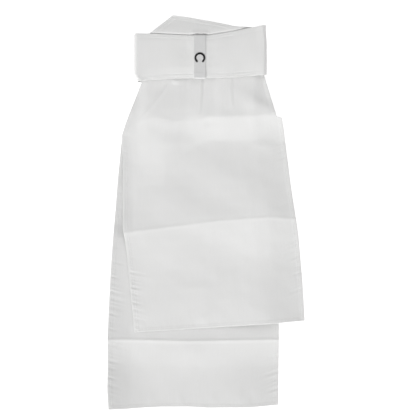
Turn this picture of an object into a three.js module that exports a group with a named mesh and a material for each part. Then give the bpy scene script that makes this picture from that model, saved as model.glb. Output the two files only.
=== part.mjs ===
import * as THREE from "three";
import { mergeVertices } from "three/addons/utils/BufferGeometryUtils.js";

const { lerp, smoothstep } = THREE.MathUtils;

// A ready-tied riding stock tie of white cotton, lying on a table with its front up.
// Millimetres. X runs along the neck band, Y from the hems of the tails up to the band, Z up from the table.
// While it is built, X is 0 at the middle of the keeper and Y is 0 at the keeper's foot.

// Neck band: one strip closed as a ring and laid flat
const BAND_FRONT = 189; // from the left fold to the right fold
const BAND_HEIGHT = 70;
const BAND_WALL = 1.8;
const RING_DEPTH = 17; // how high the laid ring stands
const UNDER_END = 67; // back end that lies on the table, from the left fold
const END_SHORT = 9; // how far the pointed end stops short of the left fold
const END_POINT = 38; // length of the point's slanted sides
const POINT_LIMIT = 0.8; // the most of the end on top that the point takes up
const RISER_SHARE = 0.4; // how far over from the under end to the right fold the end on top starts to rise
const FOLD_TUCK = 8.5; // how far the left fold draws in at its foot
const TUCK_HEIGHT = 0.22; // how far up the fold it draws in, as a share of the band's height
const TUCK_REACH = 14; // and how far along the strip

// Keeper: a loop round the band's front wall
const KEEPER_WIDTH = 17;
const KEEPER_WALL = 0.9;
const KEEPER_FOOT = 0.01; // the gathered wall's edges under the keeper, as shares of the band's height
const KEEPER_HEAD = 0.874;
const KEEPER_CORNER = 1.4; // radius of the loop's bends, outside
const KEEPER_INNER_CORNER = 0.25; // and inside

// Horseshoe stitched on the keeper
const SHOE_WIDTH = 14;
const SHOE_BAR = 2.6;
const SHOE_RAISED = 0.6;
const SHOE_OPENING = 80; // degrees between the shoe's heels
const SHOE_DROP = 3; // below the keeper's middle

// Hook-and-loop tape between the band's lapped ends
const TAPE_LENGTH = 34;
const TAPE_WIDTH = 19;
const TAPE_WALL = 1;
const TAPE_INSET = 4; // from the under end's edges

// Tails
const TAIL_WIDTH = 243;
const FRONT_TAIL_LENGTH = 366;
const BACK_TAIL_LENGTH = 473;
const CLOTH_WALL = 1;
const HEM_WALL = 1.4;
const HEM_WIDTH = 6;
const TAIL_SINK = 0.3; // share of their height that the tails lose as far as the upper crease
const SINK_RUN = 70; // length below the band over which they lose it
const DROP_START = 46; // where they start to come down to the table, below the band
const DROP_END = 108; // and where they reach it
const CREASE_RISE = 3;
const CREASE_REACH = 24;
const PLEAT_RISE = 3.2;
const PLEAT_START = 0.1; // where a pleat begins to rise, as a share of its length
const PLEAT_FULL = 0.4; // where it stands in full
const PLEAT_FADE = 0.6; // where it begins to sink
const KNIFE_SLOPE = 0.008; // width of a knife pleat's step, as a share across the tail

const CLEARANCE = 0.3; // between pieces
const TAIL_GAP = 0.5; // between the two tails
const SIDE_DROOP = 0.3; // how far the tails' sides sink inside the folds, as a share of their height
const PRESSED_EDGE = 8; // beside the keeper, before the tails rise to the band's wall
const ROW_PITCH = 10; // spacing of the tails' cross lines
const HEM_STEP = 1.5; // width of the slope from a hem down to the single cloth

// Sections of the band along its strip. run: share of the stretch. foot and head: the lower and upper
// edge, as shares of the band's height above the keeper's foot.
const BAND_SECTIONS = [
  { stretch: "under", run: 0, foot: -0.07, head: 0.925 },
  { stretch: "front", run: 0, foot: -0.07, head: 0.925 },
  { stretch: "front", run: 0.12, foot: -0.045, head: 0.915 },
  { stretch: "front", run: 0.26, foot: -0.01, head: 0.895 },
  { stretch: "front", run: 0.76, foot: 0.01, head: 0.957 },
  { stretch: "front", run: 1, foot: 0.047, head: 1.068 },
  { stretch: "rightFold", run: 1, foot: 0.07, head: 1.07 },
  { stretch: "lap", run: 1, foot: 0.351, head: 1.351 },
];

// How many steps each stretch of the band's strip is drawn in, from its under end to its pointed end
const BAND_STEPS = { under: 4, leftFold: 8, front: 20, rightFold: 8, flat: 4, riser: 5, lap: 5 };
const BAND_ROWS = [0, 0.08, TUCK_HEIGHT, 0.5, 0.75, 1]; // lines along the strip, as shares of its height
const LEAST_STEP = 0.5; // millimetres between two lines across the strip

// Cross sections of the tails from the tucked top to the hem. left and right: how far out the section's
// ends lie, as shares of the tail's width. leftDown and rightDown: how far below the keeper's foot, as
// shares of the tail's length. crease: a package crease on this line, as a share of the crease's rise.
const FRONT_SECTIONS = [
  { left: -0.322, leftDown: -0.014, right: 0.361, rightDown: -0.035, crease: 0 },
  { left: -0.334, leftDown: 0.018, right: 0.377, rightDown: -0.002, crease: 0 },
  { left: -0.432, leftDown: 0.181, right: 0.449, rightDown: 0.151, crease: 0.6 },
  { left: -0.434, leftDown: 0.187, right: 0.476, rightDown: 0.155, crease: 0 },
  { left: -0.456, leftDown: 0.226, right: 0.492, rightDown: 0.206, crease: 0 },
  { left: -0.453, leftDown: 0.324, right: 0.513, rightDown: 0.293, crease: 0 },
  { left: -0.453, leftDown: 0.477, right: 0.539, rightDown: 0.434, crease: 0 },
  { left: -0.453, leftDown: 0.593, right: 0.558, rightDown: 0.532, crease: 1 },
  { left: -0.433, leftDown: 0.674, right: 0.578, rightDown: 0.615, crease: 0 },
  { left: -0.409, leftDown: 0.831, right: 0.599, rightDown: 0.792, crease: 0 },
  { left: -0.386, leftDown: 1, right: 0.61, rightDown: 0.955, crease: 0 },
];
const BACK_SECTIONS = [
  { left: -0.32, leftDown: -0.008, right: 0.357, rightDown: -0.024, crease: 0 },
  { left: -0.331, leftDown: 0.014, right: 0.371, rightDown: -0.002, crease: 0 },
  { left: -0.421, leftDown: 0.14, right: 0.427, rightDown: 0.12, crease: 0.4 },
  { left: -0.462, leftDown: 0.187, right: 0.438, rightDown: 0.169, crease: 0 },
  { left: -0.486, leftDown: 0.309, right: 0.447, rightDown: 0.285, crease: 0 },
  { left: -0.513, leftDown: 0.484, right: 0.456, rightDown: 0.461, crease: 0.4 },
  { left: -0.527, leftDown: 0.577, right: 0.459, rightDown: 0.559, crease: 0 },
  { left: -0.539, leftDown: 0.699, right: 0.462, rightDown: 0.693, crease: 0 },
  { left: -0.545, leftDown: 0.791, right: 0.462, rightDown: 0.793, crease: 1 },
  { left: -0.545, leftDown: 0.942, right: 0.458, rightDown: 0.936, crease: 0 },
  { left: -0.536, leftDown: 1, right: 0.456, rightDown: 0.987, crease: 0 },
];

// Pleats of the front tail. top and end: where the fold starts at the band and where it dies, as shares
// across the tail. run: its length, as a share of the tail's. width: its breadth, as a share across.
// rise: share of the pleat's rise. knife: stepped on its right side, or else rounded.
const PLEATS = [
  { top: 0.25, end: 0.11, run: 0.15, width: 0.1, rise: 0.7, knife: false },
  { top: 0.492, end: 0.492, run: 0.17, width: 0.2, rise: 1, knife: true },
  { top: 0.727, end: 0.71, run: 0.14, width: 0.17, rise: 0.85, knife: true },
  { top: 0.86, end: 0.97, run: 0.15, width: 0.09, rise: 0.6, knife: false },
];

// Lines down the tails besides those of their hems and pleats, one fewer than these counts
const BACK_LINES = 11;
const FRONT_LINES = 21;
const LINE_SPACE = 0.012; // the least between two of them, as a share across

// Values worked out from the sizes above
const floorLine = BAND_WALL / 2;
const foldRadius = (RING_DEPTH - BAND_WALL) / 2;
const straight = BAND_FRONT / 2 - BAND_WALL / 2 - foldRadius; // X of the folds' centres
const underEndX = UNDER_END - straight;
const lapLine = floorLine + BAND_WALL + TAPE_WALL + 2 * CLEARANCE;
const lapStartX = underEndX + TAPE_INSET;
const riserStartX = lerp(lapStartX, straight, RISER_SHARE);
const lapLength = lapStartX + straight - END_SHORT;
const wallUnder = RING_DEPTH - BAND_WALL; // underside of the band's front wall
const keeperDrop = KEEPER_WALL + CLEARANCE;
const layer = HEM_WALL + TAIL_GAP; // what the back tail takes up under the front tail
const tuckLevel = wallUnder - CLEARANCE - HEM_WALL - layer; // the back tail's underside where sewn in

const cotton = new THREE.MeshStandardMaterial({ color: "#f1f1f0", roughness: 0.86, metalness: 0 });
const keeperCloth = new THREE.MeshStandardMaterial({ color: "#e6e6e5", roughness: 0.82, metalness: 0 });
const thread = new THREE.MeshStandardMaterial({ color: "#17171a", roughness: 0.6, metalness: 0 });
const hookTape = new THREE.MeshStandardMaterial({ color: "#ececea", roughness: 0.95, metalness: 0 });

// A closed wall: a block cut into a grid, each grid point moved by place(column, row, side), where side
// is 0 on the block's under face and 1 on its upper face
function wall(columns, rows, place) {
  const block = new THREE.BoxGeometry(1, 1, 1, columns.length - 1, rows.length - 1, 1);
  block.deleteAttribute("normal");
  block.deleteAttribute("uv");
  const solid = mergeVertices(block);
  const points = solid.getAttribute("position");
  for (let i = 0; i < points.count; i++) {
    const column = Math.round((points.getX(i) + 0.5) * (columns.length - 1));
    const row = Math.round((points.getY(i) + 0.5) * (rows.length - 1));
    const placed = place(columns[column], rows[row], points.getZ(i) + 0.5);
    points.setXYZ(i, placed.x, placed.y, placed.z);
  }
  solid.computeVertexNormals();
  return solid;
}

// A number of even steps from 0 to 1, without the last, as shares
function steps(count) {
  return Array.from({ length: count }, (_, i) => i / count);
}

// The strip's middle line in X and Z, from the under end round both folds to the pointed end
function bandRoute() {
  const top = wallUnder + BAND_WALL / 2;
  const quarter = Math.PI / 2;
  const centre = floorLine + foldRadius;
  const point = (x, z) => new THREE.Vector2(x, z);
  const slack = (riserStartX - lapStartX) / 3;
  const stretches = {
    under: new THREE.LineCurve(point(underEndX, floorLine), point(-straight, floorLine)),
    leftFold: new THREE.EllipseCurve(-straight, centre, foldRadius, foldRadius, -quarter, quarter, true),
    front: new THREE.LineCurve(point(-straight, top), point(straight, top)),
    rightFold: new THREE.EllipseCurve(straight, centre, foldRadius, foldRadius, quarter, -quarter, true),
    flat: new THREE.LineCurve(point(straight, floorLine), point(riserStartX, floorLine)),
    riser: new THREE.CubicBezierCurve(
      point(riserStartX, floorLine),
      point(riserStartX - slack, floorLine),
      point(lapStartX + slack, lapLine),
      point(lapStartX, lapLine),
    ),
    lap: new THREE.LineCurve(point(lapStartX, lapLine), point(lapStartX - lapLength, lapLine)),
  };
  const line = new THREE.CurvePath();
  const spans = {};
  let from = 0;
  for (const [name, curve] of Object.entries(stretches)) {
    line.add(curve);
    spans[name] = { from, length: curve.getLength() };
    from += spans[name].length;
  }
  return { line, spans, length: from };
}

function neckBand() {
  const { line, spans, length } = bandRoute();
  const along = (stretch, run) => spans[stretch].from + run * spans[stretch].length;
  const pinch = (KEEPER_WIDTH / 2 + CLEARANCE) / spans.front.length;
  const gathered = [0.5 - pinch, 0.5 + pinch].map((run) => ({
    stretch: "front",
    run,
    foot: KEEPER_FOOT,
    head: KEEPER_HEAD,
  }));
  const sections = [...BAND_SECTIONS, ...gathered]
    .map((row) => ({ at: along(row.stretch, row.run), foot: row.foot, head: row.head }))
    .sort((a, b) => a.at - b.at);
  const even = Object.entries(BAND_STEPS).flatMap(([stretch, count]) =>
    steps(count).map((run) => along(stretch, run)),
  );
  const places = [...even, ...sections.map((row) => row.at), length].sort((a, b) => a - b);
  const columns = places.filter((at, i) => i === 0 || at - places[i - 1] > LEAST_STEP);

  const edges = (at) => {
    const next = Math.max(1, sections.findIndex((row) => row.at >= at));
    const share = (at - sections[next - 1].at) / (sections[next].at - sections[next - 1].at);
    return {
      foot: lerp(sections[next - 1].foot, sections[next].foot, share) * BAND_HEIGHT,
      head: lerp(sections[next - 1].head, sections[next].head, share) * BAND_HEIGHT,
    };
  };

  return wall(columns, BAND_ROWS, (at, row, side) => {
    const cut = Math.min(END_POINT, POINT_LIMIT * lapLength) * Math.abs(2 * row - 1);
    const lapped = Math.max(0, at - spans.lap.from);
    const reached = Math.min(at, spans.lap.from) + (lapped * (spans.lap.length - cut)) / spans.lap.length;
    const middle = line.getPoint(reached / length);
    const heading = line.getTangent(reached / length);
    const out = (side - 0.5) * BAND_WALL;
    const { foot, head } = edges(reached);
    const x = middle.x - heading.y * out;
    const nearFold = smoothstep(-x, straight - TUCK_REACH, straight + foldRadius);
    const drawnIn = FOLD_TUCK * nearFold * (1 - smoothstep(row, 0, TUCK_HEIGHT));
    return { x: x + drawnIn, y: lerp(foot, head, row), z: middle.y + heading.x * out };
  });
}

// The keeper's loop in Y and Z, drawn out along X
function keeperLoop() {
  const foot = KEEPER_FOOT * BAND_HEIGHT - CLEARANCE;
  const head = KEEPER_HEAD * BAND_HEIGHT + CLEARANCE;
  const under = wallUnder - CLEARANCE;
  const top = RING_DEPTH + CLEARANCE;
  const round = (path, grow, radius) => {
    const [x0, x1, y0, y1] = [foot - grow, head + grow, under - grow, top + grow];
    path.moveTo(x0 + radius, y0);
    path.lineTo(x1 - radius, y0);
    path.absarc(x1 - radius, y0 + radius, radius, -Math.PI / 2, 0, false);
    path.absarc(x1 - radius, y1 - radius, radius, 0, Math.PI / 2, false);
    path.absarc(x0 + radius, y1 - radius, radius, Math.PI / 2, Math.PI, false);
    path.absarc(x0 + radius, y0 + radius, radius, Math.PI, 1.5 * Math.PI, false);
    return path;
  };
  const shape = round(new THREE.Shape(), KEEPER_WALL, KEEPER_CORNER);
  shape.holes.push(round(new THREE.Path(), 0, KEEPER_INNER_CORNER));
  const loop = new THREE.ExtrudeGeometry(shape, {
    depth: KEEPER_WIDTH,
    bevelEnabled: false,
    curveSegments: 4,
  });
  loop.translate(0, 0, -KEEPER_WIDTH / 2);
  loop.rotateX(Math.PI / 2); // turns the profile's second axis up
  loop.rotateZ(Math.PI / 2); // and its first axis along Y
  return loop;
}

// A plain horseshoe with its heels down, flat on the keeper
function horseshoe() {
  const radius = SHOE_WIDTH / 2;
  const heel = THREE.MathUtils.degToRad(SHOE_OPENING / 2) - Math.PI / 2;
  const shape = new THREE.Shape();
  shape.absarc(0, 0, radius, heel, Math.PI - heel, false);
  shape.absarc(0, 0, radius - SHOE_BAR, Math.PI - heel, heel, true);
  const shoe = new THREE.ExtrudeGeometry(shape, {
    depth: SHOE_RAISED,
    bevelEnabled: false,
    curveSegments: 20,
  });
  const middle = ((KEEPER_FOOT + KEEPER_HEAD) / 2) * BAND_HEIGHT - SHOE_DROP;
  shoe.translate(0, middle, RING_DEPTH + KEEPER_WALL + 2 * CLEARANCE);
  return shoe;
}

function closureTape() {
  const tape = new THREE.BoxGeometry(TAPE_LENGTH, TAPE_WIDTH, TAPE_WALL);
  const head = BAND_SECTIONS[0].head * BAND_HEIGHT;
  const x = underEndX - TAPE_INSET - TAPE_LENGTH / 2;
  const y = head - TAPE_INSET - TAPE_WIDTH / 2;
  tape.translate(x, y, BAND_WALL + CLEARANCE + TAPE_WALL / 2);
  return tape;
}

// Height of the sewn-in tails over the table, for the lower of them
function hang(x, y) {
  const edge = KEEPER_WIDTH / 2 + PRESSED_EDGE;
  const beside = smoothstep(Math.abs(x), edge, edge + 2 * PRESSED_EDGE);
  const droop = SIDE_DROOP * smoothstep(Math.abs(x), straight - 1.5 * foldRadius, straight + foldRadius);
  const sunk = TAIL_SINK * smoothstep(-y, 0, SINK_RUN);
  const dropped = (1 - TAIL_SINK) * smoothstep(-y, DROP_START, DROP_END);
  return (tuckLevel - keeperDrop * (1 - beside)) * (1 - droop) * (1 - sunk - dropped);
}

// Height that a tail's creases give it at a point
function creaseLift(sections, length, x, y) {
  return sections
    .filter((row) => row.crease > 0)
    .map((row) => {
      const share = (x / TAIL_WIDTH - row.left) / (row.right - row.left);
      const line = -lerp(row.leftDown, row.rightDown, share) * length;
      return row.crease * CREASE_RISE * (1 - smoothstep(Math.abs(y - line), 0, CREASE_REACH));
    })
    .reduce((sum, lift) => sum + lift, 0);
}

// Height that the pleats give the front tail: across is the share across it, down the share of its length
function pleatLift(across, down) {
  return PLEATS.map((pleat) => {
    const gone = down / pleat.run;
    const aside = lerp(pleat.top, pleat.end, gone) - across;
    const growth = smoothstep(gone, PLEAT_START, PLEAT_FULL) * (1 - smoothstep(gone, PLEAT_FADE, 1));
    const knife = aside < 0 ? 0 : Math.max(0, 1 - aside / pleat.width);
    const rounded = 1 - smoothstep(Math.abs(aside), 0, pleat.width / 2);
    return pleat.rise * PLEAT_RISE * growth * (pleat.knife ? knife : rounded);
  }).reduce((sum, lift) => sum + lift, 0);
}

// A tail's wall. lift(x, y, across, down) is its underside's height.
function tail(sections, length, lines, lift) {
  const last = sections.length - 1;
  const hem = HEM_WIDTH / TAIL_WIDTH;
  const inner = (HEM_WIDTH + HEM_STEP) / TAIL_WIDTH;
  const columns = [0, hem, inner, ...lines, 1 - inner, 1 - hem, 1].sort((a, b) => a - b);
  const lastSpan = (sections[last].leftDown - sections[last - 1].leftDown) * length;
  const hemRow = last - HEM_WIDTH / lastSpan;
  const rows = sections.slice(0, last).flatMap((row, i) => {
    const count = Math.max(1, Math.round(((sections[i + 1].leftDown - row.leftDown) * length) / ROW_PITCH));
    return steps(count).map((share) => i + share);
  });
  const above = rows.filter((row) => row < hemRow - 2 * (HEM_STEP / lastSpan));
  const downwards = [...above, hemRow - HEM_STEP / lastSpan, hemRow, last];

  return wall(columns, downwards.reverse(), (across, row, side) => {
    const from = sections[Math.min(Math.floor(row), last - 1)];
    const to = sections[Math.min(Math.floor(row), last - 1) + 1];
    const share = row - sections.indexOf(from);
    const at = (key) => lerp(from[key], to[key], share);
    const down = lerp(at("leftDown"), at("rightDown"), across);
    const x = lerp(at("left"), at("right"), across) * TAIL_WIDTH;
    const y = -down * length;
    const hemmed = Math.min(across, 1 - across) < (hem + inner) / 2 || row >= hemRow;
    return { x, y, z: lift(x, y, across, down) + side * (hemmed ? HEM_WALL : CLOTH_WALL) };
  });
}

function backTail() {
  const lines = steps(BACK_LINES).slice(1);
  return tail(BACK_SECTIONS, BACK_TAIL_LENGTH, lines, backLift);
}

function backLift(x, y) {
  return hang(x, y) + creaseLift(BACK_SECTIONS, BACK_TAIL_LENGTH, x, y);
}

function frontTail() {
  const knives = PLEATS.filter((pleat) => pleat.knife).map((pleat) => pleat.top);
  const beside = knives.flatMap((top) => [top, top + KNIFE_SLOPE]);
  const even = steps(FRONT_LINES).slice(1);
  const clear = even.filter((line) => beside.every((edge) => Math.abs(edge - line) > LINE_SPACE));
  return tail(FRONT_SECTIONS, FRONT_TAIL_LENGTH, [...clear, ...beside], (x, y, across, down) => {
    const own = creaseLift(FRONT_SECTIONS, FRONT_TAIL_LENGTH, x, y) + pleatLift(across, down);
    return backLift(x, y) + layer + own;
  });
}

const tie = new THREE.Group();

function add(name, geometry, material) {
  const mesh = new THREE.Mesh(geometry, material);
  mesh.name = name;
  tie.add(mesh);
}

add("neck_band", neckBand(), cotton);
add("keeper_loop", keeperLoop(), keeperCloth);
add("emblem", horseshoe(), thread);
add("closure_tape", closureTape(), hookTape);
add("front_tail", frontTail(), cotton);
add("back_tail", backTail(), cotton);

// The finished part's origin is the middle of its outline, on the table
const outline = new THREE.Box3().setFromObject(tie);
const middle = outline.getCenter(new THREE.Vector3());
tie.position.set(-middle.x, -middle.y, -outline.min.z);

export default tie;
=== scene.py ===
import math

import bmesh
import bpy
import numpy as np
from mathutils import Matrix, Vector


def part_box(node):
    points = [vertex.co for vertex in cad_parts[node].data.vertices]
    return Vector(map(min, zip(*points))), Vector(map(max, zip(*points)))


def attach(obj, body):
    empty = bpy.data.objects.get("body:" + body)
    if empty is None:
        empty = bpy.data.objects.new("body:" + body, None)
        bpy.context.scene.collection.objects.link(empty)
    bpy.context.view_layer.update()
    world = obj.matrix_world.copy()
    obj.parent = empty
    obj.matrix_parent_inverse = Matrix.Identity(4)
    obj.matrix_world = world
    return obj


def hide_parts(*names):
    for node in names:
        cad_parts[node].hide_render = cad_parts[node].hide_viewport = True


# A ready-tied riding stock tie of white cotton, laid flat. Shapes are worked out in millimetres, with X
# from the keeper's middle line, Y up from the keeper's foot and Z up from the table, and placed in the
# frame's metres.

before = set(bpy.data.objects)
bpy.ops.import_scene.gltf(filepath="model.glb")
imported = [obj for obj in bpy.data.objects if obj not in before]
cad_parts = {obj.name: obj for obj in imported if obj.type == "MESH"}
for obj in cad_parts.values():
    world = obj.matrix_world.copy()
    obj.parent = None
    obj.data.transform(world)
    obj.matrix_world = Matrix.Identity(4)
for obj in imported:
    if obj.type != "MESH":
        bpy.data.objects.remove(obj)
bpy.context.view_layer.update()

MM = 0.001
BAND_LOW, BAND_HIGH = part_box("neck_band")
KEEPER_LOW, KEEPER_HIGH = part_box("keeper_loop")
TAPE_LOW, TAPE_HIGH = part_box("closure_tape")
EMBLEM_LOW, EMBLEM_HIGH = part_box("emblem")

# Sizes of the band, its closure and its keeper, in millimetres
CLEARANCE = 0.3
BAND_HEIGHT = 70
BAND_WALL = 1.8
UNDER_END = 67  # from the left fold to the end that lies under the pointed one
END_SHORT = 9  # from the left fold to the tip of the pointed end
END_POINT = 38  # how far the point's slants run back from its tip
FOLD_TUCK = 4  # how far the left fold's foot is pressed inwards
FOLD_REACH = 3.4  # how far the pressed folds bulge sideways
TAPE_WALL = 1
TAPE_INSET = 4
KEEPER_WALL = 0.7
KEEPER_FOOT = 0.5  # from the keeper's lowest edge up to the line from which heights are measured
BAND_SINK = 2.1  # how far the keeper and the wall under it sag towards the tails

# Sizes of the horseshoe, in millimetres and degrees
SHOE_SPREAD = 1  # how far the threads spread past its outline
SHOE_BAR = 3.1
SHOE_OPENING = 66  # between the shoe's heels
SHOE_STRANDS = 80
SHOE_THREAD = 0.36  # half a strand's breadth

# Sizes of the tails, in millimetres
TAIL_WIDTH = 243
FRONT_TAIL_LENGTH = 366
BACK_TAIL_LENGTH = 473
CLOTH_WALL = 0.8
HEM_WALL = 1.1
HEM_WIDTH = 5.5
HEM_SEAM = HEM_WIDTH - 0.9  # from the edge to the hem's stitches
LAYER = 1.9  # what the back tail takes up under the front tail

# Values that follow from the frame
BAND_FRONT = (BAND_HIGH.x - BAND_LOW.x) / MM
RING_DEPTH = (BAND_HIGH.z - BAND_LOW.z) / MM
KEEPER_WIDTH = (KEEPER_HIGH.x - KEEPER_LOW.x) / MM
ORIGIN = Vector(((KEEPER_LOW.x + KEEPER_HIGH.x) / 2, KEEPER_LOW.y + KEEPER_FOOT * MM, 0))

# The band's ring as laid: the under wall's middle line, the folds' radius, half the straight run between
# the folds, and the underside of the front wall
FLOOR_LINE = BAND_WALL / 2
FOLD_RADIUS = (RING_DEPTH - BAND_WALL) / 2
STRAIGHT = BAND_FRONT / 2 - BAND_WALL / 2 - FOLD_RADIUS
WALL_UNDER = RING_DEPTH - BAND_WALL

# Camera: straight above, with the photograph's framing
PHOTO_WIDTH = 416
PIXEL = 1.44  # millimetres on the table
KEEPER_PIXEL = (200, 78.5)  # where the keeper's middle line and foot are in the photograph
LENS = 85
SENSOR = 36


def make_camera():
    """The camera, straight above the tie."""
    data = bpy.data.cameras.new("camera")
    data.lens = LENS
    data.sensor_width = SENSOR
    camera = bpy.data.objects.new("camera", data)
    bpy.context.scene.collection.objects.link(camera)
    middle = PHOTO_WIDTH / 2
    right = (middle - KEEPER_PIXEL[0]) * PIXEL * MM
    up = (KEEPER_PIXEL[1] - middle) * PIXEL * MM
    height = PHOTO_WIDTH * PIXEL * MM * LENS / SENSOR
    camera.location = ORIGIN + Vector((right, up, height))
    bpy.context.scene.camera = camera


make_camera()


# Values and curves

def eased(places, values, at, reach):
    """A table read at some places, with its corners rounded off over reach on each side."""
    shares = np.linspace(-1, 1, 7)
    return sum(np.interp(at + share * reach, places, values) for share in shares) / len(shares)


def step(low, high, at):
    """0 below low, 1 above high, smooth between."""
    share = np.clip((at - low) / (high - low), 0, 1)
    return share * share * (3 - 2 * share)


def graded(length, pitch, edge):
    """Places from 0 to length, pitch apart, and closer at the two edges, where the edge list holds them."""
    inner = np.arange(edge[-1] + pitch, length - edge[-1] - pitch / 2, pitch)
    far = [length - place for place in reversed(edge)]
    return np.array([*edge, *inner, *far])


# Places beside an edge, close enough together for its rounding and its stitches
HEM_GRADE = (0, 0.08, 0.3, 0.7, 1.3, 2.2, 3, 3.6, 4.1, 4.6, 5.1, 5.7, 6.4, 7.4, 9)
KEEPER_GRADE = (0, 0.08, 0.3, 0.7, 1.3, 2, 2.5, 3)
TAPE_GRADE = (0, 0.1, 0.3, 0.7, 1.2)
PITCH = 1.6  # between the rows of a tail, and the rows and columns of the band
TAIL_PITCH = 2.5  # between the columns of a tail
TAPE_PITCH = 1.2
KEEPER_PITCH = 1
KEEPER_COLUMNS = 150

# Radii of the pieces' rounded edges
TAIL_ROUNDING = 0.6
BAND_ROUNDING = 0.15
TAPE_ROUNDING = 0.5


# Cloth pieces

def metres(x, y, z):
    """Points in millimetres on the tie, as an array of points in the frame."""
    return np.stack([x * MM + ORIGIN.x, y * MM + ORIGIN.y, z * MM], axis=-1)


def cloth(name, columns, rows, shape):
    """A closed piece: an upper and an under skin over one grid, welded at its edges.

    shape(column, row, side) gives X, Y and Z for arrays of places, with side 1 for the upper skin and 0 for
    the under one.
    """
    bm = bmesh.new()
    weave = bm.loops.layers.uv.new("weave")
    last_column, last_row = len(columns) - 1, len(rows) - 1
    for side in (1, 0):
        made = bmesh.ops.create_grid(bm, x_segments=last_column, y_segments=last_row, size=0.5)
        skin = made["verts"]
        flat = np.array([v.co.xy for v in skin]) + 0.5
        across = columns[np.rint(flat[:, 0] * last_column).astype(int)]
        along = rows[np.rint(flat[:, 1] * last_row).astype(int)]
        places = {}
        for v, co, u, w in zip(skin, metres(*shape(across, along, side)), across, along):
            v.co = co
            places[v] = (u * MM, w * MM)
        faces = list({f for v in skin for f in v.link_faces})
        for face in faces:
            for loop in face.loops:
                loop[weave].uv = places[loop.vert]
        if side == 0:
            bmesh.ops.reverse_faces(bm, faces=faces)
    bmesh.ops.remove_doubles(bm, verts=bm.verts[:], dist=1e-6)
    return finished(name, bm)


def finished(name, bm):
    """The bmesh as a smooth-shaded object at the origin."""
    mesh = bpy.data.meshes.new(name)
    bm.to_mesh(mesh)
    bm.free()
    mesh.shade_smooth()
    made = bpy.data.objects.new(name, mesh)
    bpy.context.scene.collection.objects.link(made)
    return made


def dressed(piece, slot, material, *nodes):
    """Gives a piece its body and material, and hides the CAD nodes that it stands for. The slot is not used.
    """
    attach(piece, "root")
    piece.data.materials.append(material)
    if nodes:
        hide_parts(*nodes)


STITCH = 2.7  # length of a stitch with its gap
STITCH_GAP = 0.07  # share of that length that a stitch leaves free at each end
THREAD = 0.3  # half a thread's breadth
THREAD_FLATNESS = 0.7  # a thread's height as a share of its breadth
STITCH_RUN = 40  # stitches that are made at a time, since a small mesh grows faster than a large one
UP = Vector((0, 0, 1))


def seam(shape, columns, rows, side):
    """Points where the needle goes through, along a line on a piece's upper or under skin."""
    columns, rows = np.broadcast_arrays(columns, rows)
    return metres(*shape(columns, rows, side))


def strands(spans, breadth, segments):
    """Short lengths of thread, as a mesh. Each span is its two ends and the way up."""
    bm = bmesh.new()
    for start, end, up in spans:
        along = end - start
        beside = up.cross(along).normalized()
        above = along.cross(beside).normalized()
        turn = Matrix((along.normalized(), beside, above)).transposed().to_4x4()
        size = Matrix.Diagonal((along.length / 2, breadth * MM, breadth * MM * THREAD_FLATNESS, 1))
        place = Matrix.Translation((start + end) / 2) @ turn @ size
        bmesh.ops.create_uvsphere(bm, u_segments=segments, v_segments=4, radius=1, matrix=place)
    return bm


def stitching(name, seams):
    """Rows of lockstitch, each stitch sunk a little in the cloth."""
    whole = bmesh.new()
    for points in seams:
        holes = [Vector(point) for point in points]
        for first in range(0, len(holes) - 1, STITCH_RUN):
            run = holes[first:first + STITCH_RUN + 1]
            spans = [(a.lerp(b, STITCH_GAP), a.lerp(b, 1 - STITCH_GAP), UP) for a, b in zip(run, run[1:])]
            row = strands(spans, THREAD, 6)
            stretch = bpy.data.meshes.new("row")
            row.to_mesh(stretch)
            row.free()
            whole.from_mesh(stretch)
            bpy.data.meshes.remove(stretch)
    return finished(name, whole)


def rounding(distance, radius):
    """Share of a wall's thickness at a distance from its rounded edge."""
    share = np.clip(distance / radius, 0, 1)
    return np.sqrt(1 - (1 - share) ** 2)


def groove(distance, place, width):
    """1 in the middle of a stitched line that lies place from the edge, falling to 0 at its sides."""
    return np.exp(-((distance - place) / width) ** 2)


# Materials

def linear(colour):
    """An sRGB hex colour as linear red, green, blue and alpha."""
    parts = [int(colour[i:i + 2], 16) / 255 for i in (1, 3, 5)]
    return [*(c / 12.92 if c <= 0.04045 else ((c + 0.055) / 1.055) ** 2.4 for c in parts), 1]


def add(tree, kind, inputs=None, **settings):
    """Adds a node. Settings are its properties, inputs its sockets' values or what is linked to them."""
    made = tree.nodes.new(kind)
    for name, value in settings.items():
        setattr(made, name, value)
    for name, value in (inputs or {}).items():
        if isinstance(value, bpy.types.NodeSocket):
            tree.links.new(value, made.inputs[name])
        else:
            made.inputs[name].default_value = value
    return made


WAVE_TURN = 2 * math.pi / 20  # a wave texture's period at scale 1
SLUB = (1.6, 30)  # breadth and length of the thick places in a thread, in millimetres
FIBRE_IOR = 1.46
SHEEN_ROUGHNESS = 0.4


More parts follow.
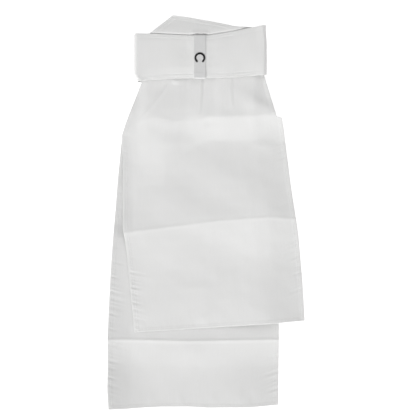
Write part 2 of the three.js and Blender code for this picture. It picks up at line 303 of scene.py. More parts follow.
def woven(name, light, dark, warp, weft, relief, mottle, roughness, sheen):
    """Cloth or thread: two crossed sets of waves along the weave map, with slubs and a faint cloudiness.

    The spacing of the warp and the weft, the relief and the clouds' size are in millimetres. Strands of
    thread have no weave map, so there the cloudiness alone shows.
    """
    material = bpy.data.materials.new(name)
    material.use_nodes = True
    tree = material.node_tree
    shader = tree.nodes["Principled BSDF"]
    place = add(tree, "ShaderNodeTexCoord")
    threads = [
        add(
            tree,
            "ShaderNodeTexWave",
            {"Vector": place.outputs["UV"], "Scale": WAVE_TURN / (pitch * MM), "Distortion": 0},
            bands_direction=axis,
        ).outputs["Fac"]
        for axis, pitch in (("X", warp), ("Y", weft))
    ]
    crossed = add(tree, "ShaderNodeMath", {0: threads[0], 1: threads[1]}, operation="MULTIPLY")
    bump = add(
        tree,
        "ShaderNodeBump",
        {"Height": crossed.outputs[0], "Distance": relief * MM, "Strength": 1.0},
    )
    cloud = add(
        tree,
        "ShaderNodeTexNoise",
        {"Vector": place.outputs["Object"], "Scale": 1 / (mottle * MM), "Detail": 3.0, "Roughness": 0.55},
    )
    breadth, length = SLUB
    drawn = add(
        tree,
        "ShaderNodeMapping",
        {"Vector": place.outputs["UV"], "Scale": (1 / (breadth * MM), 1 / (length * MM), 1)},
    )
    slub = add(tree, "ShaderNodeTexNoise", {"Vector": drawn.outputs["Vector"], "Scale": 1.0, "Detail": 2.0})
    uneven = add(
        tree,
        "ShaderNodeMath",
        {0: cloud.outputs["Fac"], 1: slub.outputs["Fac"]},
        operation="MULTIPLY",
    )
    shade = add(
        tree,
        "ShaderNodeMix",
        {"Factor": uneven.outputs[0], "A": linear(dark), "B": linear(light)},
        data_type="RGBA",
    )
    tree.links.new(shade.outputs["Result"], shader.inputs["Base Color"])
    tree.links.new(bump.outputs["Normal"], shader.inputs["Normal"])
    shader.inputs["Roughness"].default_value = roughness
    shader.inputs["IOR"].default_value = FIBRE_IOR
    shader.inputs["Sheen Weight"].default_value = sheen
    shader.inputs["Sheen Roughness"].default_value = SHEEN_ROUGHNESS
    return material


# Bleached cotton, plain-woven and pressed: an even, clean white with a faint cloudiness where it was
# starched. Its real threads lie 0.25 mm apart and its slubs are half a millimetre broad, too fine to show in
# the picture, so both are drawn coarser.
cotton = woven("bleached_cotton", "#ededed", "#e6e6e5", 0.45, 0.45, 0.03, 50, 0.78, 0.12)
# Cotton tape, ribbed across: a greyer white, since each rib shades the next
ribbed = woven("ribbed_cotton_tape", "#e0e0e0", "#d7d7d7", 0.9, 0.6, 0.08, 10, 0.8, 0.1)
# Sewing thread of mercerised cotton, twisted: a touch glossier and brighter than the cloth round it
sewing = woven("mercerised_white_thread", "#f0f0f0", "#ececec", 0.3, 0.3, 0.01, 10, 0.5, 0.1)
# Black rayon embroidery thread, satin-stitched: deep black with a soft shine along the strands
black = woven("black_rayon_thread", "#131316", "#0c0c0e", 0.3, 0.3, 0.02, 4, 0.38, 0.05)
# Nylon loop tape, knitted and brushed: a dull, slightly rough white
loops = woven("nylon_loop_tape", "#e8e8e6", "#d8d8d4", 0.8, 0.8, 0.3, 4, 0.9, 0.2)


# Tails

# Cross sections from the tucked top to the hem: out to the left and right as shares of the tail's width, and
# down at the left and right ends as shares of its length
SECTION = ("left", "left_down", "right", "right_down")
FRONT_SECTIONS = (
    (-0.322, -0.014, 0.361, -0.035),
    (-0.342, 0.018, 0.382, -0.002),
    (-0.438, 0.181, 0.452, 0.151),
    (-0.44, 0.186, 0.48, 0.155),
    (-0.46, 0.226, 0.496, 0.206),
    (-0.454, 0.324, 0.512, 0.293),
    (-0.453, 0.477, 0.539, 0.434),
    (-0.453, 0.593, 0.562, 0.532),
    (-0.433, 0.674, 0.582, 0.615),
    (-0.409, 0.831, 0.606, 0.792),
    (-0.386, 1, 0.62, 0.955),
)
BACK_SECTIONS = (
    (-0.32, -0.008, 0.357, -0.024),
    (-0.331, 0.014, 0.371, -0.002),
    (-0.421, 0.14, 0.427, 0.12),
    (-0.462, 0.187, 0.438, 0.169),
    (-0.486, 0.309, 0.447, 0.285),
    (-0.513, 0.484, 0.456, 0.461),
    (-0.527, 0.577, 0.459, 0.559),
    (-0.539, 0.699, 0.467, 0.693),
    (-0.545, 0.791, 0.466, 0.793),
    (-0.545, 0.942, 0.463, 0.936),
    (-0.536, 1, 0.462, 0.987),
)

# How far the hem bows down below the straight line between its corners, as shares across and millimetres,
# and how far up the tail that dies away
FRONT_BOW = ((0, 0.4), (0.5, 1.0), (1, 0.8))
BACK_BOW = ((0, 2.4), (0.1, 3.6), (0.3, 2.6), (0.48, 3.4), (0.58, 5.6), (0.84, 5.8), (1, 3.2))
BOW_RUN = 60

RIDGE_POWER = 1.6  # makes a crease's ridge sharp and its foot soft


def fold_height(x, y, line, rise, above, below):
    """A package crease: a sharp ridge along a line of points, which falls away above and below."""
    away = y - np.interp(x, *zip(*line))
    reach = np.where(away > 0, above, below)
    return rise * np.clip(1 - np.abs(away) / reach, 0, 1) ** RIDGE_POWER


def reached(x, y, at, reach, turn):
    """How far points lie from a middle, as a share of the reaches to its left and right, above and below."""
    c, s = math.cos(math.radians(turn)), math.sin(math.radians(turn))
    dx, dy = x - at[0], y - at[1]
    along, up = dx * c + dy * s, dy * c - dx * s
    left, right, above, below = reach
    return np.hypot(along / np.where(along < 0, left, right), up / np.where(up < 0, below, above))


def swell(x, y, at, reach, turn, rise):
    """A soft rise or hollow in the cloth: its middle, its four reaches and their turn in degrees."""
    return rise * np.exp(-reached(x, y, at, reach, turn) ** 2)


def ripples(x, y, pitch, seed):
    """Gentle unevenness of the cloth, about 1 high in all, made of crossing waves."""
    draw = np.random.default_rng(seed)
    turns = draw.uniform(0, math.pi, 9)
    lengths = draw.uniform(0.7, 1.6, 9) * pitch
    phases = draw.uniform(0, 7, 9)
    waves = [
        np.sin(2 * math.pi * (x * math.cos(turn) + y * math.sin(turn)) / length + phase)
        for turn, length, phase in zip(turns, lengths, phases)
    ]
    return sum(waves) / len(waves)


def rippled(x, y, rows):
    """Ripples of several pitches together: each row is a rise, a pitch and a seed."""
    return sum(rise * ripples(x, y, pitch, seed) for rise, pitch, seed in rows)


# How the tails come down from the band to the table, in millimetres and shares of their height
TUCK_SINK = 3.2  # how far the tucked tops, pressed together, lie below the band's front wall
HANG_LEVEL = WALL_UNDER - CLEARANCE - TUCK_SINK - LAYER  # the back tail's underside there
KEEPER_PULL = 1.2  # how much lower it lies below the keeper
KEEPER_SIDE = (8, 24)  # how far beside the keeper that pull starts and ends to fade
SIDE_DROOP = 0.3  # share that the tucked tops lose at the folds
TAIL_SINK = 0.3  # share that the tails lose as far as the upper crease
SINK_RUN = 70
DROP_START = 55  # how far below the band they start to come down
DROP_ENDS = ((-96, 168), (-80, 154), (-50, 152), (-28, 112), (-6, 95), (16, 90))  # and end, across the tails
DROP_ROUNDING = 3


def hang(x, y):
    """Height of the lower tail's underside: level below the band as far as the upper crease, then down."""
    starts, ends = KEEPER_SIDE
    below_keeper = 1 - step(KEEPER_WIDTH / 2 + starts, KEEPER_WIDTH / 2 + ends, np.abs(x))
    droop = SIDE_DROOP * step(STRAIGHT - 1.5 * FOLD_RADIUS, STRAIGHT + FOLD_RADIUS, np.abs(x))
    drop = np.interp(x, *zip(*DROP_ENDS)) - DROP_START
    dropped = eased((0, 1), (0, 1), (-y - DROP_START) / drop, DROP_ROUNDING / drop)
    fallen = TAIL_SINK * step(0, SINK_RUN, -y) + (1 - TAIL_SINK) * dropped
    return (HANG_LEVEL - KEEPER_PULL * below_keeper) * (1 - droop) * (1 - fallen)


# Package creases, as points on their ridges
UPPER_CREASE = (
    (-111, -83),
    (-92, -64),
    (-62, -57),
    (-35, -62.6),
    (1, -61),
    (13, -57),
    (58, -55.4),
    (104, -52.6),
    (122, -52.6),
)
MIDDLE_CREASE = (
    (-111, -223),
    (-104, -221),
    (-36, -212.4),
    (36, -203.8),
    (101, -199.4),
    (122, -201),
    (141, -202),
)
BACK_UPPER_CREASE = ((-115, -100), (104, -95))
BACK_MIDDLE_CREASE = ((-125, -229), (111, -218))
BACK_LOWER_CREASE = ((-133, -374.4), (-14, -377.3), (111, -375))

# What each crease raises: its ridge, its rise, and how far that falls away above and below. A narrow row on
# a broad one makes its ridge sharp. Two creases of the back tail show only beside the front one.
FRONT_FOLDS = (
    (UPPER_CREASE, 0.8, 26, 22),
    (MIDDLE_CREASE, 3.6, 105, 66),
    (MIDDLE_CREASE, 0.3, 3, 6),
    (BACK_LOWER_CREASE, 1.0, 170, 46),
)
BACK_FOLDS_BESIDE = ((BACK_UPPER_CREASE, 1.0, 30, 24), (BACK_MIDDLE_CREASE, 1.6, 50, 40))
BACK_FOLDS = ((BACK_LOWER_CREASE, 3.1, 56, 40), (BACK_LOWER_CREASE, 0.6, 2, 5))

# Swells that the cloth keeps from its folding: middle, reaches to the left and right, above and below, turn
# and rise
FRONT_SWELLS = (
    ((-60, -66), (26, 26, 60, 68), 0, 2.2),
    ((-42, -66), (16, 16, 8, 8), 0, 0.6),
    ((-35, -91), (14, 12, 14, 8), 10, 0.5),
    ((50, -64), (60, 60, 12, 12), 4, 0.6),
    ((12, -64), (7, 7, 5, 5), 30, -0.8),
    ((88, -39), (46, 30, 10, 14), -35, 1.9),
    ((92, -96), (14, 14, 9, 6), 0, 0.7),
    ((20, -150), (50, 50, 26, 26), 12, 0.5),
    ((88, -192), (44, 42, 66, 56), 0, 4.8),
    ((0, -303), (30, 30, 13, 40), 4, 0.9),
    ((-17, -342), (7, 7, 9, 10), 0, 0.5),
    ((92, -348), (44, 44, 62, 30), 0, 5.2),
    ((44, -312), (9, 9, 24, 24), 0, 0.5),
    ((4, -345), (10, 10, 7, 7), 20, 0.7),
    ((-70, -330), (34, 34, 14, 14), 6, 0.5),
    ((-108, -290), (13, 13, 62, 62), 3, 1.4),
)
BACK_SWELLS = (
    ((-14, -396), (46, 46, 18, 22), 0, 1.3),
    ((0, -492), (210, 210, 48, 52), 0, 3.0),
    ((-134, -474), (40, 40, 54, 46), 0, 7.2),
    ((76, -480), (46, 48, 56, 38), 0, 4.8),
    ((-70, -461), (6, 6, 9, 9), 0, 0.4),
    ((-28, -462), (5, 5, 9, 9), 0, 0.5),
    ((20, -462), (5, 5, 10, 10), 0, 0.4),
    ((58, -460), (6, 6, 10, 10), 0, 0.5),
    ((74, -458), (4, 4, 8, 8), 0, -0.4),
)


# The left side of each tail, as places down from the band and across
FRONT_SIDE = ((-2, -80), (66, -106), (83, -112), (120, -110), (217, -110), (304, -99), (366, -94))
BACK_SIDE = ((0, -80), (88, -112), (229, -124), (374, -132), (473, -130))

# Where the hem draws that side up: rise, reach inwards, how sharply it rises, and where it starts and ends
# on the way down. The last one starts at the middle crease and runs on past the foot.
FRONT_CURLS = ((2.4, 14, 1.2, (20, 55), (212, 236)),)
BACK_CURLS = ((3.4, 14, 1.2, (90, 120), (215, 240)), (5.4, 34, 1.5, (205, 250), (600, 640)))


def curled(x, y, side, curls):
    """Height of a tail's left side, which curls up a little off what lies below it."""
    away = x - np.interp(-y, *zip(*side))
    height = 0
    for rise, reach, power, starts, ends in curls:
        along = step(*starts, -y) * (1 - step(*ends, -y))
        height = height + rise * np.clip(1 - away / reach, 0, 1) ** power * along
    return height


def creased(x, y, folds):
    """Height that a tail's package creases give it."""
    return sum(fold_height(x, y, *fold) for fold in folds)


LOOSE_RUN = 50  # how far below the band the tails lie free of it
BACK_LOOSE = 0.9  # how far a loose tail stands off what lies below it
FRONT_LOOSE = 2
COVER = (-118, -96)  # where the front tail's left side covers the back one
OVERHANG = 4.4  # how far the front tail's right side hangs down beside the back one
OVERHANG_ACROSS = (102, 148)  # where it comes down
OVERHANG_DOWN = (110, 190)  # how far below the band that starts, and is full
FRONT_RIPPLES = ((0.9, 64, 8), (0.22, 19, 5))  # rise, pitch and seed
BACK_RIPPLES = ((0.4, 60, 3), (0.12, 19, 2))
PUSHED_UP = ((-34, -6), (7, 7, 3.5, 3.5), 0, 0.8)  # the front tail's swell where a pleat meets the band


def back_lie(x, y):
    """Height of the back tail's underside."""
    folds = (1 - step(*COVER, x)) * creased(x, y, BACK_FOLDS_BESIDE) + creased(x, y, BACK_FOLDS)
    swells = sum(swell(x, y, *row) for row in BACK_SWELLS)
    loose = step(0, LOOSE_RUN, -y) * (BACK_LOOSE + swells + rippled(x, y, BACK_RIPPLES))
    return hang(x, y) + folds + loose + curled(x, y, BACK_SIDE, BACK_CURLS)


def front_lie(x, y):
    """Height of the front tail's underside."""
    swells = sum(swell(x, y, *row) for row in FRONT_SWELLS)
    overhang = OVERHANG * eased(OVERHANG_ACROSS, (0, 1), x, 4) * step(*OVERHANG_DOWN, -y)
    loose = step(0, LOOSE_RUN, -y) * (FRONT_LOOSE + swells + rippled(x, y, FRONT_RIPPLES) - overhang)
    raised = creased(x, y, FRONT_FOLDS) + curled(x, y, FRONT_SIDE, FRONT_CURLS)
    return hang(x, y) + LAYER + loose + raised + swell(x, y, *PUSHED_UP)


# Pleats of the front tail, as shares across it: where the fold starts at the band, where it dies, its length
# and breadth in millimetres, its rise, and whether it is stepped on its right side
PLEATS = (
    (0.25, 0.09, 64, 15, 0.8, False),
    (0.492, 0.487, 62, 46, 0.9, True),
    (0.727, 0.715, 50, 40, 0.6, True),
)


def pleated(across, down):
    """Height that the pleats give the front tail."""
    height = 0
    for top, end, run, width, rise, knife in PLEATS:
        aside = (top + (end - top) * down / run - across) * TAIL_WIDTH
        fade = (0.45 + 0.55 * step(0.05, 0.3, down / run)) * (1 - step(0.55, 1, down / run))
        stepped = np.clip(1 - aside / width, 0, 1) * step(-1.4, 0, aside) + 0.25 * groove(aside, 1.2, 1.3)
        rounded = 1 - step(0, width / 2, np.abs(aside))
        height = height + rise * fade * (stepped if knife else rounded)
    return height


def unpleated(across, down):
    """The back tail lies flat under the front one, with no pleats."""
    return 0 * across


# Where the stitching draws the hems into gathers: side, middle up from the foot, reach and rise
FRONT_PUCKERS = (
    ("left", 56, 40, 0.42),
    ("right", 78, 34, 0.3),
    ("left", 252, 26, 0.14),
    ("right", 250, 24, 0.12),
)
BACK_PUCKERS = (
    ("left", 160, 56, 0.34),
    ("left", 46, 30, 0.42),
    ("right", 34, 34, 0.34),
    ("left", 320, 40, 0.2),
)
PUCKER_LEAST = 0.06  # rise of the gathers elsewhere along the hems
PUCKER_PITCHES = (4.3, 5.6, 7.7, 11.2)  # crossing, so that no two gathers are alike
PUCKER_SHARE = 0.32  # of each of those waves
RIGHT_SHIFT = 40  # sets the gathers of the right side apart from the left one's


def puckers(column, row, edge, stretches):
    """Small gathers along a tail's hems, strongest in some stretches of its sides."""
    on_side = {"left": column < TAIL_WIDTH / 2, "right": column > TAIL_WIDTH / 2}
    rise = PUCKER_LEAST
    for side, middle, reach, height in stretches:
        rise = rise + height * on_side[side] * np.exp(-(((row - middle) / reach) ** 2))
    inward = np.minimum(column, TAIL_WIDTH - column)
    along = np.maximum(row, inward) + 0.3 * np.minimum(row, inward) + RIGHT_SHIFT * on_side["right"]
    waves = PUCKER_SHARE * sum(np.sin(along * 2 * math.pi / pitch + pitch) for pitch in PUCKER_PITCHES)
    inside = np.maximum(0, edge - HEM_WIDTH)
    fade = np.exp(-((inside / (10 + 5 * np.sin(along / 11))) ** 2))
    return rise * waves * fade * step(-1, 2, edge)


def hemmed_wall(edge):
    """A tail's thickness at a distance from its edge: doubled at the hem and drawn in along its stitches."""
    wall = CLOTH_WALL + (HEM_WALL - CLOTH_WALL) * (1 - step(HEM_WIDTH - 0.6, HEM_WIDTH + 1.6, edge))
    return wall - 0.2 * groove(edge, HEM_SEAM, 0.7)


def tail(name, sections, length, bow, lie, pleats, stretches):
    """A hemmed tail. Its columns run across the cloth and its rows up it, in millimetres."""
    table = {key: np.array(column) for key, column in zip(SECTION, zip(*sections))}
    places = (table["left_down"] + table["right_down"]) / 2 * length
    top, foot = places[0], places[-1]
    columns = graded(TAIL_WIDTH, TAIL_PITCH, HEM_GRADE)
    rows = graded(foot - top, PITCH, HEM_GRADE)

    def shape(column, row, side):
        down = foot - row
        reach = 0.4 + 5 * step(0.19 * length, 0.24 * length, down)  # the sides kink only beside the creases
        side_at = {key: eased(places, table[key], down, reach) for key in SECTION}
        share = column / TAIL_WIDTH
        x = (side_at["left"] + (side_at["right"] - side_at["left"]) * share) * TAIL_WIDTH
        y = -(side_at["left_down"] + (side_at["right_down"] - side_at["left_down"]) * share) * length
        y -= eased(*zip(*bow), share, 0.03) * (1 - step(0, BOW_RUN, row))
        inward = np.minimum(column, TAIL_WIDTH - column)
        edge = np.minimum(inward, row)
        outer = np.minimum(edge, foot - top - row)
        wall = hemmed_wall(edge)
        z = lie(x, y) + pleats(share, -y) + wall / 2 + (side - 0.5) * wall * rounding(outer, TAIL_ROUNDING)
        z += puckers(column, row, edge, stretches)
        return x, y, z

    return cloth(name, columns, rows, shape), shape


back_tail, back_shape = tail(
    "back_tail_cloth",
    BACK_SECTIONS,
    BACK_TAIL_LENGTH,
    BACK_BOW,
    back_lie,
    unpleated,
    BACK_PUCKERS,
)
front_tail, front_shape = tail(
    "front_tail_cloth",
    FRONT_SECTIONS,
    FRONT_TAIL_LENGTH,
    FRONT_BOW,
    front_lie,
    pleated,
    FRONT_PUCKERS,
)
dressed(back_tail, "white_cotton", cotton, "back_tail")
dressed(front_tail, "white_cotton", cotton, "front_tail")


SEAM_SHORT = 4  # how far below the band's foot the stitches of a tail's sides end


def hem_seams(shape, length):
    """The three stitched hems of a tail, each one row."""
    up = np.arange(HEM_SEAM, length - SEAM_SHORT, STITCH)
    across = np.arange(HEM_SEAM, TAIL_WIDTH - HEM_SEAM, STITCH)
    return [
        seam(shape, HEM_SEAM, up, 1),
        seam(shape, TAIL_WIDTH - HEM_SEAM, up, 1),
        seam(shape, across, HEM_SEAM, 1),
    ]


back_stitches = stitching("back_tail_stitches", hem_seams(back_shape, BACK_TAIL_LENGTH))
front_stitches = stitching("front_tail_stitches", hem_seams(front_shape, FRONT_TAIL_LENGTH))
dressed(back_stitches, "white_cotton", sewing)
dressed(front_stitches, "white_cotton", sewing)


# Neck band

# Cross sections along the strip: the stretch of its route, the share run along that, and the strip's foot
# and head there as shares of its height. Stretch 2 is the front wall, and 4 to 6 are the pointed end's.
BAND_SECTIONS = (
    (0, 0, -0.085, 0.89),
    (2, 0, -0.085, 0.89),
    (2, 0.12, -0.058, 0.884),
    (2, 0.26, -0.03, 0.868),
    (2, 0.44, -0.02, 0.845),
    (2, 0.56, -0.02, 0.845),
    (2, 0.76, -0.005, 0.93),
    (2, 1, 0.045, 1.06),
    (3, 1, 0.066, 1.066),
    (4, 0.2, 0.036, 1.036),
    (4, 0.55, 0.03, 1.03),
    (4, 1, 0.121, 1.121),
    (5, 1, 0.225, 1.225),
    (6, 1, 0.333, 1.333),
)
FRONT_STRETCH = 2
TIP_STRETCH = 6

SECTION_ROUNDING = 5  # rounds off the outline's corners at the sections

BAND_SEAMS = (2.6, 6.4)  # how far inside the band's edge its two rows of stitches run
UNDER_SEAM = 20  # how far before the pointed end the stitches on the strip's inner side start
SEAM_DEPTHS = (0.15, 0.35)  # how deep the stitches always draw the cloth in, and how much more in places
POINT_SLANT = 0.68  # distance from the point's slanted edge for each millimetre along the strip
EDGE_WALL = 0.8  # the band's thickness at its edge as a share of the wall's
LAP_LEVEL = 12.6  # how high the pointed end's upper edge lies, just behind the front wall
LAP_RISE = 2.1  # how much higher where it shows above that wall
LAP_TILT = 2.6  # how far it falls from there to its top
RIGHT_BULGE = 1.3  # how far the right fold leans out below its top
CREASE = STRAIGHT + FOLD_RADIUS - FOLD_REACH  # from the middle to where the front wall turns into a fold


def band_route():
    """The strip's middle line in X and Z, the way run at each point, and where its stretches end."""
    under_end = UNDER_END - STRAIGHT
    lap_line = FLOOR_LINE + BAND_WALL + TAPE_WALL + 2 * CLEARANCE
    lap_start = under_end + TAPE_INSET
    riser_start = lap_start + 0.4 * (STRAIGHT - lap_start)
    tip = END_SHORT - STRAIGHT
    centre = FLOOR_LINE + FOLD_RADIUS
    top = WALL_UNDER + BAND_WALL / 2
    fine = np.linspace(0, 1, 60)

    def line(x0, z0, x1, z1):
        return x0 + (x1 - x0) * fine, z0 + (z1 - z0) * fine

    def turn(x, first, last):
        angle = np.radians(first + (last - first) * fine)
        return x + FOLD_REACH * np.cos(angle), centre + FOLD_RADIUS * np.sin(angle)

    rise = (lap_line - FLOOR_LINE) * step(0, 1, fine)
    stretches = [
        line(under_end, FLOOR_LINE, -CREASE, FLOOR_LINE),
        turn(-CREASE, 270, 90),
        line(-CREASE, top, CREASE, top),
        turn(CREASE, 90, -90),
        line(CREASE, FLOOR_LINE, riser_start, FLOOR_LINE),
        (riser_start + (lap_start - riser_start) * fine, FLOOR_LINE + rise),
        line(lap_start, lap_line, tip, lap_line),
    ]
    x = np.concatenate([s[0] for s in stretches])
    z = np.concatenate([s[1] for s in stretches])
    run = np.concatenate([[0], np.cumsum(np.hypot(np.diff(x), np.diff(z)))])
    ends = [run[(i + 1) * len(fine) - 1] for i in range(len(stretches))]
    return x, z, run, [0, *ends]


def band_wall(column, share, edge):
    """The band's thickness: a little less at its edges, and drawn in unevenly along its two seams."""
    least, more = SEAM_DEPTHS
    depth = least + more * step(-0.4, 0.5, np.sin(column / 17 + share) * np.sin(column / 7.3 + 4 * share))
    grooves = sum(depth * groove(edge, inside, 0.9) for inside in BAND_SEAMS)
    return BAND_WALL * (EDGE_WALL + (1 - EDGE_WALL) * step(0, 3, edge)) - grooves


def fold_lean(x, share):
    """How far the folds lean sideways: the left one's foot is tucked in, and the right one bulges out."""
    starts, ends = STRAIGHT - 14, STRAIGHT + FOLD_RADIUS
    tuck = FOLD_TUCK * (1 - step(0, 0.16, share)) * step(starts, ends, -x)
    return tuck + RIGHT_BULGE * (1 - step(0.6, 0.95, share)) * step(starts, ends, x)


def front_sag(x, y, row):
    """How far the front wall sinks: at its edges beside the keeper, and in soft waves where it lies open."""
    near_head = 1 - step(0, 14, BAND_HEIGHT - row)
    crown = step(4, 12, np.abs(x)) * (0.8 * (1 - step(0, 20, row)) + 0.7 * near_head)
    gather = 0.08 * np.sin(row / 2.1) * np.exp(-(((np.abs(x) - KEEPER_WIDTH / 2) / 14) ** 2))
    beside_keeper = step(KEEPER_WIDTH / 2, KEEPER_WIDTH / 2 + 12, np.abs(x)) * (1 - 0.6 * near_head)
    return crown - beside_keeper * (gather + 0.9 * ripples(x, y, 34, 4) - 0.45)


def lap_lift(x, z, share, above):
    """How far the pointed end's upper edge rises, from above, its distance past the front wall's head."""
    below_keeper = 1 - step(KEEPER_WIDTH / 2 + 1, KEEPER_WIDTH / 2 + 5, np.abs(x))
    shown = step(2.5 * below_keeper - 1.2, 0.8 * below_keeper + 2.2, above)
    pushed = 0.8 * below_keeper * (1 - step(3, 9, above))
    tilt = LAP_TILT * step(0, 26, above)
    return (LAP_LEVEL - z) * step(0.1, 0.55, share) + (LAP_RISE + pushed) * shown - tilt


def neck_band():
    """The band's cloth and its seams. Its columns run along the strip and its rows up it."""
    route_x, route_z, run, marks = band_route()
    at = [marks[s] + share * (marks[s + 1] - marks[s]) for s, share, _, _ in BAND_SECTIONS]
    foot = [section[2] * BAND_HEIGHT for section in BAND_SECTIONS]
    head = [section[3] * BAND_HEIGHT for section in BAND_SECTIONS]
    wall_starts, wall_ends, behind_starts = marks[FRONT_STRETCH:FRONT_STRETCH + 3]
    lap, total = marks[TIP_STRETCH:]
    front_at = [place for place, section in zip(at, BAND_SECTIONS) if section[0] == FRONT_STRETCH]
    front_head = [height for height, section in zip(head, BAND_SECTIONS) if section[0] == FRONT_STRETCH]
    columns = graded(total, PITCH, HEM_GRADE)
    rows = graded(BAND_HEIGHT, PITCH, HEM_GRADE)

    def drawn_in(share):
        """What the point's slants leave of the pointed end's length."""
        return (total - lap - END_POINT * np.abs(2 * share - 1)) / (total - lap)

    def shape(column, row, side):
        share = row / BAND_HEIGHT
        way = np.minimum(column, lap) + np.maximum(0, column - lap) * drawn_in(share)
        x = np.interp(way, run, route_x)
        z = np.interp(way, run, route_z)
        ahead_x = np.interp(way + 0.4, run, route_x) - np.interp(way - 0.4, run, route_x)
        ahead_z = np.interp(way + 0.4, run, route_z) - np.interp(way - 0.4, run, route_z)
        size = np.hypot(ahead_x, ahead_z)
        low = eased(at, foot, way, SECTION_ROUNDING)
        high = eased(at, head, way, SECTION_ROUNDING)
        y = low + (high - low) * share

        slant = (total - column) * drawn_in(share) * POINT_SLANT
        edge = np.minimum(np.minimum(row, BAND_HEIGHT - row), np.minimum(column, slant))
        out = (side - 0.5) * band_wall(column, share, edge) * rounding(edge, BAND_ROUNDING)

        on_front = step(wall_starts, wall_starts + 12, way) * (1 - step(wall_ends - 12, wall_ends, way))
        behind = step(behind_starts, behind_starts + 32, way)
        over = np.interp(x, (-CREASE, CREASE), (wall_starts, wall_ends))
        above = y - np.interp(over, front_at, front_head)
        raised = behind * lap_lift(x, z, share, above) - on_front * front_sag(x, y, row)
        return x - ahead_z / size * out + fold_lean(x, share), y, z + ahead_x / size * out + raised

    def slanted(inside):
        """The pointed end's columns for rows inside its slanted edge."""
        up = np.linspace(inside, BAND_HEIGHT - inside, 36)
        return total - inside / POINT_SLANT / drawn_in(up / BAND_HEIGHT), up

    seams = []
    for inside in BAND_SEAMS:
        last = total - 0.9 * inside / POINT_SLANT / drawn_in(0)
        for line in (inside, BAND_HEIGHT - inside):
            seams.append(seam(shape, np.arange(inside, last, STITCH), line, 1))
            seams.append(seam(shape, np.arange(lap - UNDER_SEAM, last, STITCH), line, 0))
        seams += [seam(shape, *slanted(inside), side) for side in (0, 1)]
    return cloth("neck_band_cloth", columns, rows, shape), seams


band, band_seams = neck_band()
dressed(band, "white_cotton", cotton, "neck_band")
band_stitches = stitching("neck_band_stitches", band_seams)
dressed(band_stitches, "white_cotton", sewing)


# Keeper

def keeper():
    """The keeper's loop round the front wall. Its columns run round the loop and its rows across it."""
    foot = (KEEPER_LOW.y - ORIGIN.y) / MM - BAND_SINK
    head = (KEEPER_HIGH.y - ORIGIN.y) / MM - BAND_SINK
    low, high = KEEPER_LOW.z / MM, KEEPER_HIGH.z / MM - CLEARANCE
    half = (high - low) / 2 - KEEPER_WALL / 2
    middle = (high + low) / 2
    flat = (head - foot) - 2 * half - KEEPER_WALL
    around = 2 * flat + 2 * math.pi * half
    columns = np.linspace(0, around, KEEPER_COLUMNS)
    rows = graded(KEEPER_WIDTH, KEEPER_PITCH, KEEPER_GRADE)

    def shape(column, row, side):
        start = foot + KEEPER_WALL / 2 + half
        bends = [0, flat, flat + math.pi * half, 2 * flat + math.pi * half, around]
        angle = np.interp(column, bends, [90, 90, -90, -90, -270])
        along = np.interp(column, bends, [start, start + flat, start + flat, start, start])
        edge = np.minimum(row, KEEPER_WIDTH - row)
        wall = KEEPER_WALL * rounding(edge, TAPE_ROUNDING) * (1 - 0.2 * groove(edge, 1.6, 0.4))
        radius = half + (side - 0.5) * wall
        y = along + radius * np.cos(np.radians(angle))
        z = middle + radius * np.sin(np.radians(angle))
        ends = 0.15 * step(head - 14, head, y) - 0.15 * groove(y, foot + 7.5, 1.6)
        return row - KEEPER_WIDTH / 2, y, z - ends * (z > middle)

    return cloth("keeper_tape", columns, rows, shape)


dressed(keeper(), "keeper_cotton", ribbed, "keeper_loop")


# Horseshoe

def horseshoe():
    """A horseshoe in satin stitch, heels down: threads side by side across its bar."""
    middle = (EMBLEM_LOW.x + EMBLEM_HIGH.x) / 2 / MM
    outer = (EMBLEM_HIGH.x - EMBLEM_LOW.x) / 2 / MM + SHOE_SPREAD
    inner = outer - SHOE_BAR
    centre = Vector((middle, EMBLEM_HIGH.y / MM - outer, KEEPER_HIGH.z / MM)) * MM
    heel = math.radians(SHOE_OPENING / 2 - 90)
    spans = []
    for i in range(SHOE_STRANDS + 1):
        angle = heel + (math.pi - 2 * heel) * i / SHOE_STRANDS
        way = Vector((math.cos(angle), math.sin(angle), 0)) * MM
        uneven = 0.12 * math.sin(i * 2.4)
        spans.append((centre + way * (inner + uneven), centre + way * (outer + uneven / 2), UP))
    return finished("horseshoe_satin_stitch", strands(spans, SHOE_THREAD, 8))


dressed(horseshoe(), "black_thread", black, "emblem")


# Closure tape

PILE = ((0.12, 2.2, 6),)  # rise, pitch and seed of its loops' unevenness
PILE_ROOM = 0.2  # what the loops take of the tape's thickness


def closure_tape():
    """The loop half of the hook-and-loop closure, sewn flat on the under end."""
    size = (TAPE_HIGH - TAPE_LOW) / MM
    low = (TAPE_LOW - ORIGIN) / MM
    columns = graded(size.x, TAPE_PITCH, TAPE_GRADE)
    rows = graded(size.y, TAPE_PITCH, TAPE_GRADE)

    def shape(column, row, side):
        edge = np.minimum(np.minimum(column, size.x - column), np.minimum(row, size.y - row))
        pile = rippled(column, row, PILE) * side
        wall = (size.z - PILE_ROOM) * rounding(edge, TAPE_ROUNDING)
        z = TAPE_LOW.z / MM + size.z / 2 + (side - 0.5) * wall + pile
        return low.x + column, low.y + row, z

    return cloth("closure_loop_tape", columns, rows, shape)


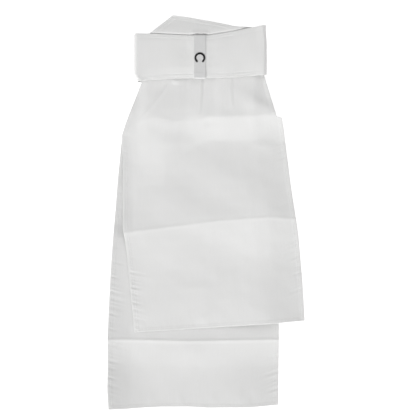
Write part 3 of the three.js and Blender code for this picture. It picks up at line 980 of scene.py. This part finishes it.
dressed(closure_tape(), "hook_tape", loops, "closure_tape")


# Floor, light and air

FLOOR_HALF = 6  # half the table's breadth, in metres
FLOOR_GAP = 0.0002  # keeps its surface from touching the cloth's


def make_floor():
    """A white table that glows a little, so that it comes out as white as the photograph's ground."""
    bm = bmesh.new()
    bmesh.ops.create_grid(bm, x_segments=1, y_segments=1, size=FLOOR_HALF)
    floor = finished("floor", bm)
    floor.location.z = -FLOOR_GAP
    material = bpy.data.materials.new("lit_white_table")
    material.use_nodes = True
    shader = material.node_tree.nodes["Principled BSDF"]
    shader.inputs["Base Color"].default_value = linear("#cfcfcf")
    shader.inputs["Roughness"].default_value = 0.9
    shader.inputs["Emission Color"].default_value = linear("#ffffff")
    shader.inputs["Emission Strength"].default_value = 0.72
    floor.data.materials.append(material)


def make_lamp(name, place, size, power):
    """A wide soft box, turned towards the tie."""
    data = bpy.data.lights.new(name, "AREA")
    data.shape = "RECTANGLE"
    data.size, data.size_y = size
    data.energy = power
    light = bpy.data.objects.new(name, data)
    bpy.context.scene.collection.objects.link(light)
    light.location = place
    light.rotation_mode = "QUATERNION"
    light.rotation_quaternion = (-light.location).to_track_quat("-Z", "Y")


def make_air():
    """A soft tent: white at the horizon, dimmer overhead."""
    world = bpy.data.worlds.new("tent")
    world.use_nodes = True
    tree = world.node_tree
    way = add(tree, "ShaderNodeTexCoord")
    parts = add(tree, "ShaderNodeSeparateXYZ", {0: way.outputs["Generated"]})
    level = add(
        tree,
        "ShaderNodeMapRange",
        {"Value": parts.outputs["Z"], "From Min": 0.02, "From Max": 0.12, "To Min": 1.0, "To Max": 0.3},
    )
    tree.links.new(level.outputs["Result"], tree.nodes["Background"].inputs["Strength"])
    tree.nodes["Background"].inputs["Color"].default_value = (1, 1, 1, 1)
    bpy.context.scene.world = world


make_floor()
make_lamp("key", (-3.0, -7.2, 4.4), (9, 6), 900)
make_lamp("fill", (0.8, 3.5, 3.4), (5, 3.5), 70)
make_air()
bpy.context.scene.view_settings.view_transform = "Standard"
